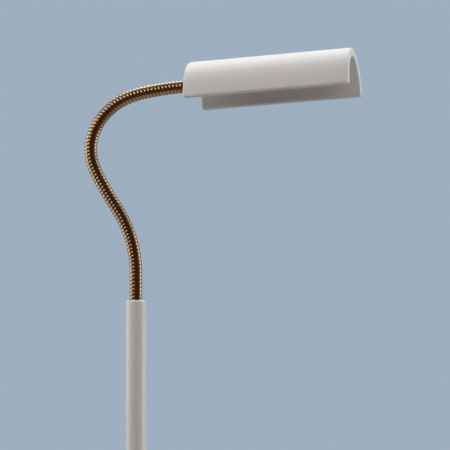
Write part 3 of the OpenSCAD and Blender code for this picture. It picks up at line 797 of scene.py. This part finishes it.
# %% [markdown]
# ## The shade
# The shade is a half tube with walls over 10 mm thick and soft edges all round. A bevel modifier could
# round a plain half tube, but an outline drawn with its corners gives full control of each radius. The
# wall is one closed outline: an outer and an inner half circle joined by two flat feet.

# %% Outline of the shade's wall
SHADE_OUTER = 50.5 * MM
SHADE_WALL = 10.8 * MM
CORNER = 2.5 * MM
FOOT_DROP = 0.6 * MM
ARC_STEPS, CORNER_STEPS = 64, 8


def wall_half(radius, away):
    """Half of the outline, from foot to foot, as points and normals. Away is 1 outside and -1 inside."""
    hub = radius - away * CORNER
    lift = math.asin(CORNER / hub)
    hub_y, hub_z = hub * math.cos(lift), CORNER - FOOT_DROP
    side = []
    for i in range(CORNER_STEPS + 1):
        angle = -math.pi / 2 + i / CORNER_STEPS * (away * math.pi / 2 + lift)
        y, z = math.cos(angle), math.sin(angle)
        side.append(((hub_y + CORNER * y, hub_z + CORNER * z), (y, z)))
    arc = []
    for i in range(1, ARC_STEPS):
        angle = lift + (math.pi - 2 * lift) * i / ARC_STEPS
        y, z = math.cos(angle), math.sin(angle)
        arc.append(((radius * y, radius * z), (away * y, away * z)))
    other = [((-y, z), (-normal_y, normal_z)) for (y, z), (normal_y, normal_z) in reversed(side)]
    return side + arc + other


wall = wall_half(SHADE_OUTER, 1) + wall_half(SHADE_OUTER - SHADE_WALL, -1)
print("outline points", len(wall))

# %% [markdown]
# The outline is repeated along the shade. Towards both ends it is set in along a quarter circle, so
# that the end edges are as soft as the long ones. Copies of the outline could be bridged by hand in edit
# mode. In code, a row of quads joins each two. The order of a quad's corners decides which way it looks,
# and all look outward, since other programs may not draw a face from behind.

# %% Build the shade
SHADE_LENGTH = 201 * MM
SHADE_SETBACK = 0.4 * MM
NECK_RISE = 22 * MM
END_ROUND = 2.2 * MM
ROUND_STEPS, SPANS = 6, 10


def make_piece(name, parts, finish, body, slot, *replaced, sharp=40):
    """Joins parts, each points and faces, into one piece on a body. Folds over sharp degrees stay hard."""
    points, faces = [], []
    for part_points, part_faces in parts:
        base = len(points)
        points += part_points
        faces += [tuple(base + v for v in face) for face in part_faces]
    piece = mesh_object(name, points, faces, finish)
    piece.data.shade_smooth()
    if sharp:
        piece.data.set_sharp_from_angle(angle=math.radians(sharp))
    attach(piece, body)
    if replaced:
        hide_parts(*replaced)
    print(name, len(piece.data.polygons), "faces")
    return piece


shade_axis = Vector(joint_to["shade"]["axis"]).normalized()
shade_up = Vector((-shade_axis.z, 0, shade_axis.x))
neck_frame = Matrix((shade_axis, Vector((0, 1, 0)), shade_up)).transposed().to_4x4()
neck_frame.translation = Vector(neck_end)
quarter = [math.pi / 2 * i / ROUND_STEPS for i in range(ROUND_STEPS, -1, -1)]
cuts = [(END_ROUND * (1 - math.sin(a)), END_ROUND * (1 - math.cos(a))) for a in quarter]
stops = cuts + [(SHADE_LENGTH * i / SPANS, 0.0) for i in range(1, SPANS)]
stops += [(SHADE_LENGTH - x, inset) for x, inset in reversed(cuts)]
shade_points = [
    neck_frame @ Vector((SHADE_SETBACK + x, y - inset * normal_y, z - inset * normal_z - NECK_RISE))
    for x, inset in stops
    for (y, z), (normal_y, normal_z) in wall
]
stride, half = len(wall), len(wall) // 2
last = (len(stops) - 1) * stride
shade_faces = ring_faces(0, half, half, flip=True, closed=False)
shade_faces += ring_faces(last, last + half, half, closed=False)
for a in range(0, last, stride):
    b = a + stride
    shade_faces += ring_faces(a, b, half, closed=False)
    shade_faces += ring_faces(a + half, b + half, half, flip=True, closed=False)
    shade_faces.append((b, b + half, a + half, a))
    shade_faces.append((a + half - 1, a + stride - 1, b + stride - 1, b + half - 1))
make_piece("shade_shell", [(shade_points, shade_faces)], plaster, "shade", "plaster", "shade", sharp=None)

# %% [markdown]
# Under the crown the shade has a flat seat, cast with it, for the bracket that carries it. It is a
# rounded block that runs up into the wall. A boolean could fuse the two, but nobody sees the joint, and
# a boolean's faces shade badly. The lower edges are softened by two more rings.

# %% Seat under the crown
SEAT_START, SEAT_LENGTH, SEAT_WIDTH, SEAT_CORNER = 10.3 * MM, 34 * MM, 30 * MM, 4 * MM
SEAT_LEVELS = [(20 * MM, 0), (16 * MM, 0), (15.3 * MM, 0.3 * MM), (15 * MM, 1.0 * MM)]
CORNER_SIGNS = ((1, 1), (-1, 1), (-1, -1), (1, -1))
PLATE_STEPS = 6


def rounded_plate(length, width, corner):
    """Outline of a plate with rounded corners, round its middle."""
    outline = []
    for quarter, (sx, sy) in enumerate(CORNER_SIGNS):
        hub_x, hub_y = sx * (length / 2 - corner), sy * (width / 2 - corner)
        for i in range(PLATE_STEPS + 1):
            angle = math.pi / 2 * (quarter + i / PLATE_STEPS)
            outline.append((hub_x + corner * math.cos(angle), hub_y + corner * math.sin(angle)))
    return outline


seat_points, seat_faces = [], []
for z, inset in SEAT_LEVELS:
    for x, y in rounded_plate(SEAT_LENGTH - 2 * inset, SEAT_WIDTH - 2 * inset, SEAT_CORNER):
        seat_points.append(neck_frame @ Vector((SEAT_START + SEAT_LENGTH / 2 + x, y, z)))
per = len(seat_points) // len(SEAT_LEVELS)
for low in range(0, len(seat_points) - per, per):
    seat_faces += ring_faces(low, low + per, per, flip=True)
seat_faces += [tuple(range(per)), tuple(reversed(range(len(seat_points) - per, len(seat_points))))]
make_piece("shade_seat", [(seat_points, seat_faces)], plaster, "shade", "plaster", sharp=50)

# %% [markdown]
# ## Turned pieces
# Screws, pads, the nut, the switch's button and the lampholder are turned or pressed round an axis. A
# spin operator makes round bodies, but not a hexagon or a cross in the middle of one. So each is built
# as a row of rings. A ring is a radius and a height, or a function of the angle where it isn't round. A
# ring of radius 0 closes the piece on its axis.

# %% Ring builders
def turned(rings, place, steps=48):
    """Points and faces of a body made of rings. The row closes on itself unless it starts on the axis."""
    points, rows, faces = [], [], []
    for ring in rings:
        if not callable(ring) and ring[0] == 0:
            rows.append([len(points)] * steps)
            points.append(place @ Vector((0, 0, ring[1])))
            continue
        rows.append(list(range(len(points), len(points) + steps)))
        for j in range(steps):
            angle = 2 * math.pi * j / steps
            r, h = ring(angle) if callable(ring) else ring
            points.append(place @ Vector((r * math.cos(angle), r * math.sin(angle), h)))
    on_axis = rows[0][0] == rows[0][1]
    for low, high in zip(rows, rows[1:] if on_axis else rows[1:] + rows[:1]):
        for j in range(steps):
            k = (j + 1) % steps
            # on the axis two corners are one point, and the face becomes a triangle
            face = tuple(dict.fromkeys((low[j], low[k], high[k], high[j])))
            if len(face) > 2:
                faces.append(face)
    return points, faces


def soften(corners, steps=4):
    """Rounds the corners of a row of rings. A corner is a radius, a height and a rounding."""
    row = []
    for i, (r, h, rounding) in enumerate(corners):
        here = Vector((r, h))
        if not rounding:
            row.append((r, h))
            continue
        start = here + (Vector(corners[i - 1][:2]) - here).normalized() * rounding
        end = here + (Vector(corners[(i + 1) % len(corners)][:2]) - here).normalized() * rounding
        for k in range(steps + 1):
            t = k / steps
            row.append(tuple(start * (1 - t) ** 2 + here * (2 * t * (1 - t)) + end * t * t))
    return row


def in_mm(row):
    """Turns rings given in millimetres into metres."""

    def scaled(ring):
        if callable(ring):
            return lambda angle: tuple(v * MM for v in ring(angle))
        return ring[0] * MM, ring[1] * MM

    return [scaled(ring) for ring in row]


print("a corner softens into", len(soften([(0, 0, 0), (2, 0, 1), (2, 2, 0)])) - 2, "rings")

# %% [markdown]
# ## Screws
# The bottom plate and the bracket are held by pan-head screws with a cross recess. The collar and the
# cap are locked by headless screws with a hexagon socket, sunk just below the surface. A recess could
# be cut with a boolean. Here it is a ring whose radius follows the shape of the tool's tip, which keeps
# the mesh clean.

# %% Screw shapes
CROSS_ARM = 0.26
NEVER_ZERO = 1e-6


def hexagon(angle, turn=0.0):
    """Radius of a hexagon at an angle, with 1 at its corners."""
    return math.cos(math.pi / 6) / math.cos((angle + turn) % (math.pi / 3) - math.pi / 6)


def cross(angle):
    """Radius of a cross at an angle, with 1 at the ends of its arms."""
    off = (angle + math.pi / 4) % (math.pi / 2) - math.pi / 4
    return min(1 / math.cos(off), CROSS_ARM / max(abs(math.sin(off)), NEVER_ZERO))


def pan_screw(shank):
    """Rings of a screw, in mm from the underside of its head."""
    body = [(0, -shank, 0), (1.6, -shank, 0), (2.0, -shank + 0.5, 0), (2.0, 0, 0)]
    head = [(3.4, 0, 0.15), (3.4, 0.8, 0), (3.1, 1.25, 0), (2.4, 1.5, 0)]
    recess = [lambda a: (2.0 * cross(a), 1.5), lambda a: (1.3 * cross(a), 0.55), (0, 0.35)]
    return in_mm(soften(body + head) + recess)


def socket_screw(length):
    """Rings of a headless screw, in mm from its outer end."""
    body = [(0, -length), (1.4, -length), (2.0, -length + 0.6), (2.0, -0.3), (1.75, 0)]
    socket = [lambda a: (1.18 * hexagon(a), 0), lambda a: (1.18 * hexagon(a), -1.6), (0, -2.0)]
    return in_mm(body + socket)


print("rings of a pan-head screw", len(pan_screw(10)), "and of a socket screw", len(socket_screw(6)))

# %% [markdown]
# Screws of one kind share one piece, as they do in the frame. Each copy is set by a matrix: a place,
# and a turn that points its head down or out to the back.

# %% Set the screws
PLATE_COUNT, PLATE_SHANK, PLATE_CIRCLE, PLATE_DEGREES, PLATE_FACE = 4, 10, 90, 20, 2.5
BRACKET_SHANK, BRACKET_ALONG, BRACKET_ASIDE, BRACKET_FACE = 9.5, 28.3, 9, 12.5
LOCKING_SCREWS = {
    # name: distance from the pole's axis, height and length in mm, node
    "screw_collar": (19.5, 30, 6.9, "collar_screw"),
    "screw_cap": (12.0, 1085, 5.7, "cap_screw"),
}


def at_mm(x, y, z):
    return Matrix.Translation((x * MM, y * MM, z * MM))


head_down = Matrix.Rotation(math.pi, 4, "X")
head_back = Matrix.Rotation(-math.pi / 2, 4, "X")
plate_angles = [math.radians(PLATE_DEGREES + 360 / PLATE_COUNT * i) for i in range(PLATE_COUNT)]
plate_places = [
    at_mm(PLATE_CIRCLE * math.cos(a), PLATE_CIRCLE * math.sin(a), PLATE_FACE) for a in plate_angles
]
plate_screws = [turned(pan_screw(PLATE_SHANK), place @ head_down) for place in plate_places]
make_piece("screw_plate", plate_screws, steel, "stand", "steel", "plate_screws")
bracket_places = [neck_frame @ at_mm(BRACKET_ALONG, side * BRACKET_ASIDE, BRACKET_FACE) for side in (-1, 1)]
bracket_screws = [turned(pan_screw(BRACKET_SHANK), place @ head_down) for place in bracket_places]
make_piece("screw_bracket", bracket_screws, steel, "shade", "steel", "bracket_screws")
for name, (out, height, length, node) in LOCKING_SCREWS.items():
    screw = turned(socket_screw(length), at_mm(0, out, height) @ head_back)
    make_piece(name, [screw], steel, "stand", "steel", node)

# %% [markdown]
# ## Foot details
# The pads are moulded rubber with a ring pressed into the face they stand on. The button is dished for
# the toe, with fine rings for grip. The rings are in the mesh rather than in a bump, because they catch
# the light from the side.

# %% Pads and button
PAD_COUNT, PAD_CIRCLE = 6, 105
SWITCH_X, SWITCH_Y = 60, -55
DISH_FLOOR, DISH_CURVE = 32.0, 0.018
GRIP_RADII, GRIP_FOOT, GRIP_TOP, GRIP_HEIGHT = (5.6, 4.4, 3.2, 2.0), 0.35, 0.12, 0.28
pad = in_mm(soften([(0, 0.5, 0), (5.6, 0.5, 0), (6.2, 0, 0.2), (9, 0, 0.7), (9, 2.5, 0.4), (0, 2.5, 0)]))
pad_places = [
    Matrix.Rotation(2 * math.pi * i / PAD_COUNT, 4, "Z") @ at_mm(PAD_CIRCLE, 0, 0) for i in range(PAD_COUNT)
]
pads = [turned(pad, place, steps=36) for place in pad_places]
make_piece("foot_pads", pads, rubber, "stand", "rubber", "base_pads")
grip = []
for r in GRIP_RADII:
    dish = DISH_FLOOR + DISH_CURVE * r * r
    for off, rise in ((GRIP_FOOT, 0), (GRIP_TOP, GRIP_HEIGHT), (-GRIP_TOP, GRIP_HEIGHT), (-GRIP_FOOT, 0)):
        grip.append((r + off, dish + rise, 0))
flange = [(0, 21.7, 0), (9, 21.7, 0.4), (9, 26.7, 0.3), (8, 26.7, 0)]
rim = [(8, 33, 1.3), (6.6, 33, 0.3)]
button_rings = in_mm(soften(flange + rim + grip + [(0, DISH_FLOOR, 0)]))
button = turned(button_rings, at_mm(SWITCH_X, SWITCH_Y, 0), steps=64)
make_piece("toe_button", [button], black_plastic, "button", "black_plastic", "switch_button")

# %% [markdown]
# A coil spring inside the switch pushes the button up again. Its end turns lie flat, as they do on a
# ground spring. A curve with a bevel would draw it too, but here it is a mesh, and it rides on the foot.

# %% Return spring
SPRING_WIRE, SPRING_TURNS, FLAT_TURN, STEPS_PER_TURN = 0.45, 6, 0.55, 20


def wire(path, radius, place, sides=6):
    """Points and faces of a round wire along a path in mm, set in a place."""
    path = [Vector(p) for p in path]
    points, faces, side = [], [], None
    for i, here in enumerate(path):
        ahead = (path[min(i + 1, len(path) - 1)] - path[max(i - 1, 0)]).normalized()
        side = (side - ahead * side.dot(ahead) if side else ahead.orthogonal()).normalized()
        up = ahead.cross(side)
        for j in range(sides):
            angle = 2 * math.pi * j / sides
            points.append(place @ ((here + radius * (math.cos(angle) * side + math.sin(angle) * up)) * MM))
    for low in range(0, len(points) - sides, sides):
        faces += ring_faces(low, low + sides, sides)
    faces += [tuple(reversed(range(sides))), tuple(range(len(points) - sides, len(points)))]
    return points, faces


spring_low, spring_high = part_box("switch_spring")
spring_foot = Vector(((spring_low.x + spring_high.x) / 2, (spring_low.y + spring_high.y) / 2, spring_low.z))
spring_radius = (spring_high.x - spring_low.x) / 2 / MM - SPRING_WIRE
spring_length = (spring_high.z - spring_low.z) / MM
spring_path = []
for i in range(SPRING_TURNS * STEPS_PER_TURN + 1):
    turns = i / STEPS_PER_TURN
    climb = min(max((turns - FLAT_TURN) / (SPRING_TURNS - 2 * FLAT_TURN), 0), 1)
    angle = 2 * math.pi * turns
    height = SPRING_WIRE + (spring_length - 2 * SPRING_WIRE) * climb
    spring_path.append((spring_radius * math.cos(angle), spring_radius * math.sin(angle), height))
spring_wire = wire(spring_path, SPRING_WIRE, Matrix.Translation(spring_foot), sides=8)
spring = make_piece("return_spring", [spring_wire], steel, "stand", "steel", "switch_spring", sharp=60)
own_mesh(spring)

# %% [markdown]
# ## Lampholder
# The lampholder's porcelain body has two shallow grooves and a rounded mouth. The nut behind it is
# chamfered on both faces, so that the corners of its hexagon meet the chamfer in curved lines. A ring
# whose height follows its radius draws those lines exactly.

# %% Lampholder and nut
HOLDER_RADIUS, HOLDER_BORE, HOLDER_BACK, HOLDER_MOUTH, HOLDER_SEAT = 11.5, 8.5, 27, 58, 30
GROOVE_PLACES, GROOVE_FLOOR, GROOVE_ROUND = (35.6, 40.6), 11.0, 0.25
NUT_BORE, NUT_CORNER, NUT_BACK, NUT_FACE = 5.1, 9, 15.1, 19.1
NUT_FLAT = NUT_CORNER * math.cos(math.pi / 6)
CHAMFER_SLOPE, CHAMFER_INSET = 0.577, 0.02
on_neck_axis = neck_frame @ Matrix(((0, 0, 1), (1, 0, 0), (0, 1, 0))).to_4x4()
holder = [(0, HOLDER_BACK, 0), (HOLDER_RADIUS, HOLDER_BACK, 0.7)]
for low in GROOVE_PLACES:
    for radius, up in ((HOLDER_RADIUS, 0), (GROOVE_FLOOR, 0.5), (GROOVE_FLOOR, 1.8), (HOLDER_RADIUS, 2.3)):
        holder.append((radius, low + up, GROOVE_ROUND))
holder += [(HOLDER_RADIUS, HOLDER_MOUTH, 1.3), (HOLDER_BORE, HOLDER_MOUTH, 0.8)]
holder += [(HOLDER_BORE, HOLDER_SEAT, 0), (0, HOLDER_SEAT, 0)]
holder_rings = turned(in_mm(soften(holder)), on_neck_axis, steps=64)
make_piece("holder_body", [holder_rings], porcelain, "neck_20", "porcelain", "lampholder_body")


def nut_edge(face, inward):
    """A hexagon's ring that drops away from a face towards the corners."""

    def ring(angle):
        radius = NUT_CORNER * hexagon(angle, math.pi / 6)
        return radius, face + inward * CHAMFER_SLOPE * (radius - NUT_FLAT)

    return ring


nut = [(NUT_BORE, NUT_BACK), (NUT_FLAT - CHAMFER_INSET, NUT_BACK), nut_edge(NUT_BACK, 1)]
nut += [nut_edge(NUT_FACE, -1), (NUT_FLAT - CHAMFER_INSET, NUT_FACE), (NUT_BORE, NUT_FACE)]
nut_rings = turned(in_mm(nut), on_neck_axis, steps=72)
make_piece("holder_nut", [nut_rings], steel, "neck_20", "steel", "lock_nut", sharp=25)

# %% [markdown]
# ## Bulb
# The bulb is a tube of glass less than a millimetre thick. A single skin would render as a solid drop,
# so it has an inner and an outer one, and light bends into the glass and out again as it does in a real
# bulb.

# %% Bulb glass
GLASS_WALL = 0.8
BULB_RADIUS, BULB_TIP, BULB_NECK, BULB_FOOT = 10.5, 123, 5.9, 57
TIP_STEPS = 14


def envelope(wall):
    """Rings of the glass, in mm, set in by a wall's thickness."""
    r, tip, neck = BULB_RADIUS - wall, BULB_TIP - wall, BULB_NECK - wall
    row = [(neck, BULB_FOOT), (neck, 60), (neck + 0.15, 61), (neck + 0.9, 62.6)]
    row += [(r - 0.9, 65.6), (r - 0.2, 67), (r, 68.4)]
    for i in range(TIP_STEPS):
        angle = math.pi / 2 * i / TIP_STEPS
        row.append((r * math.cos(angle), tip - r + r * math.sin(angle)))
    return row + [(0, tip)]


bulb_glass = turned(in_mm(envelope(GLASS_WALL)[::-1] + envelope(0)), on_neck_axis, steps=64)
make_piece("bulb_envelope", [bulb_glass], glass, "neck_20", "glass", "bulb_glass", sharp=60)

# %% [markdown]
# Inside the glass, two leads rise from a stem and hold a coiled wire. It is thin enough to be drawn as
# lines, but lines don't show in a mesh, so the spring's wire builder makes them too.

# %% Bulb wires
STEM = [(0, 57.0), (2.0, 57.0), (2.0, 64.5), (1.7, 67.0), (1.1, 68.6), (0, 69.0)]
NEAR_LEAD = [(66, -1.0, 0), (70, -1.4, 0), (74, -2.6, 0), (78, -2.6, 0)]
FAR_LEAD = [(66, 1.0, 0), (70, 1.4, 0), (74, 2.6, 0), (94, 2.6, 0), (96.5, 2.0, 0)]
LEAD_RADIUS = 0.35
COIL_FROM, COIL_TO = Vector((77.5, -2.6, 0)), Vector((96.5, 2.0, 0))
COIL_RADIUS, COIL_WIRE, COIL_TURNS, COIL_STEPS = 0.75, 0.16, 20, 10
coil_run = COIL_TO - COIL_FROM
aside, upward = Vector((-coil_run.y, coil_run.x, 0)).normalized(), Vector((0, 0, 1))
coil_path = []
for i in range(COIL_TURNS * COIL_STEPS + 1):
    angle = 2 * math.pi * i / COIL_STEPS
    centre = COIL_FROM + coil_run * (i / (COIL_TURNS * COIL_STEPS))
    coil_path.append(centre + COIL_RADIUS * (math.cos(angle) * aside + math.sin(angle) * upward))
leads = [wire(path, LEAD_RADIUS, neck_frame) for path in (NEAR_LEAD, FAR_LEAD)]
coil = wire(coil_path, COIL_WIRE, neck_frame, sides=5)
stem = turned(in_mm(STEM), on_neck_axis, steps=24)
make_piece("bulb_wires", [stem, *leads, coil], steel, "neck_20", "steel", "bulb_filament", sharp=60)

# %% [markdown]
# ## Pole
# The pole is two tubes on an inner sleeve. The lower tube's upper edge is rounded, as a cut and deburred
# tube is, so the joint shows as a fine line halfway up. The edge is built in, because a drawn line would
# not catch the light.

# %% Lower tube
TUBE_BORE, TUBE_RADIUS, TUBE_FOOT, TUBE_TOP = 11.0, 12.5, 24, 562
tube = [(TUBE_BORE, TUBE_FOOT, 0.2), (TUBE_RADIUS, TUBE_FOOT, 0.3)]
tube += [(TUBE_RADIUS, TUBE_TOP, 0.7), (TUBE_BORE, TUBE_TOP, 0.2)]
tube_rings = turned(in_mm(soften(tube)), Matrix.Identity(4), steps=96)
make_piece("pole_tube", [tube_rings], white_paint, "stand", "white_paint", "pole_lower")

# %% [markdown]
# ## Soft edges on the frame's nodes
# Sheet metal never has perfectly sharp edges. On the nodes that keep their own mesh, a weld modifier
# joins the faces along each edge and a bevel modifier then breaks the edge. Modifiers leave the frame's
# mesh as it is.

# %% Bevels
EDGE_MM = {"shade_bracket": 0.5, "base_plate": 0.3, "base_weight": 0.8}
WELD_MM = 0.001
SHARP_DEGREES = 40
for name, width in EDGE_MM.items():
    weld = nodes[name].modifiers.new("join_faces", "WELD")
    weld.merge_threshold = WELD_MM * MM
    bevel = nodes[name].modifiers.new("soft_edges", "BEVEL")
    bevel.width = width * MM
    bevel.segments = 2
    bevel.limit_method = "ANGLE"
    bevel.angle_limit = math.radians(SHARP_DEGREES)
print("bevelled nodes", [name for name in nodes if nodes[name].modifiers])
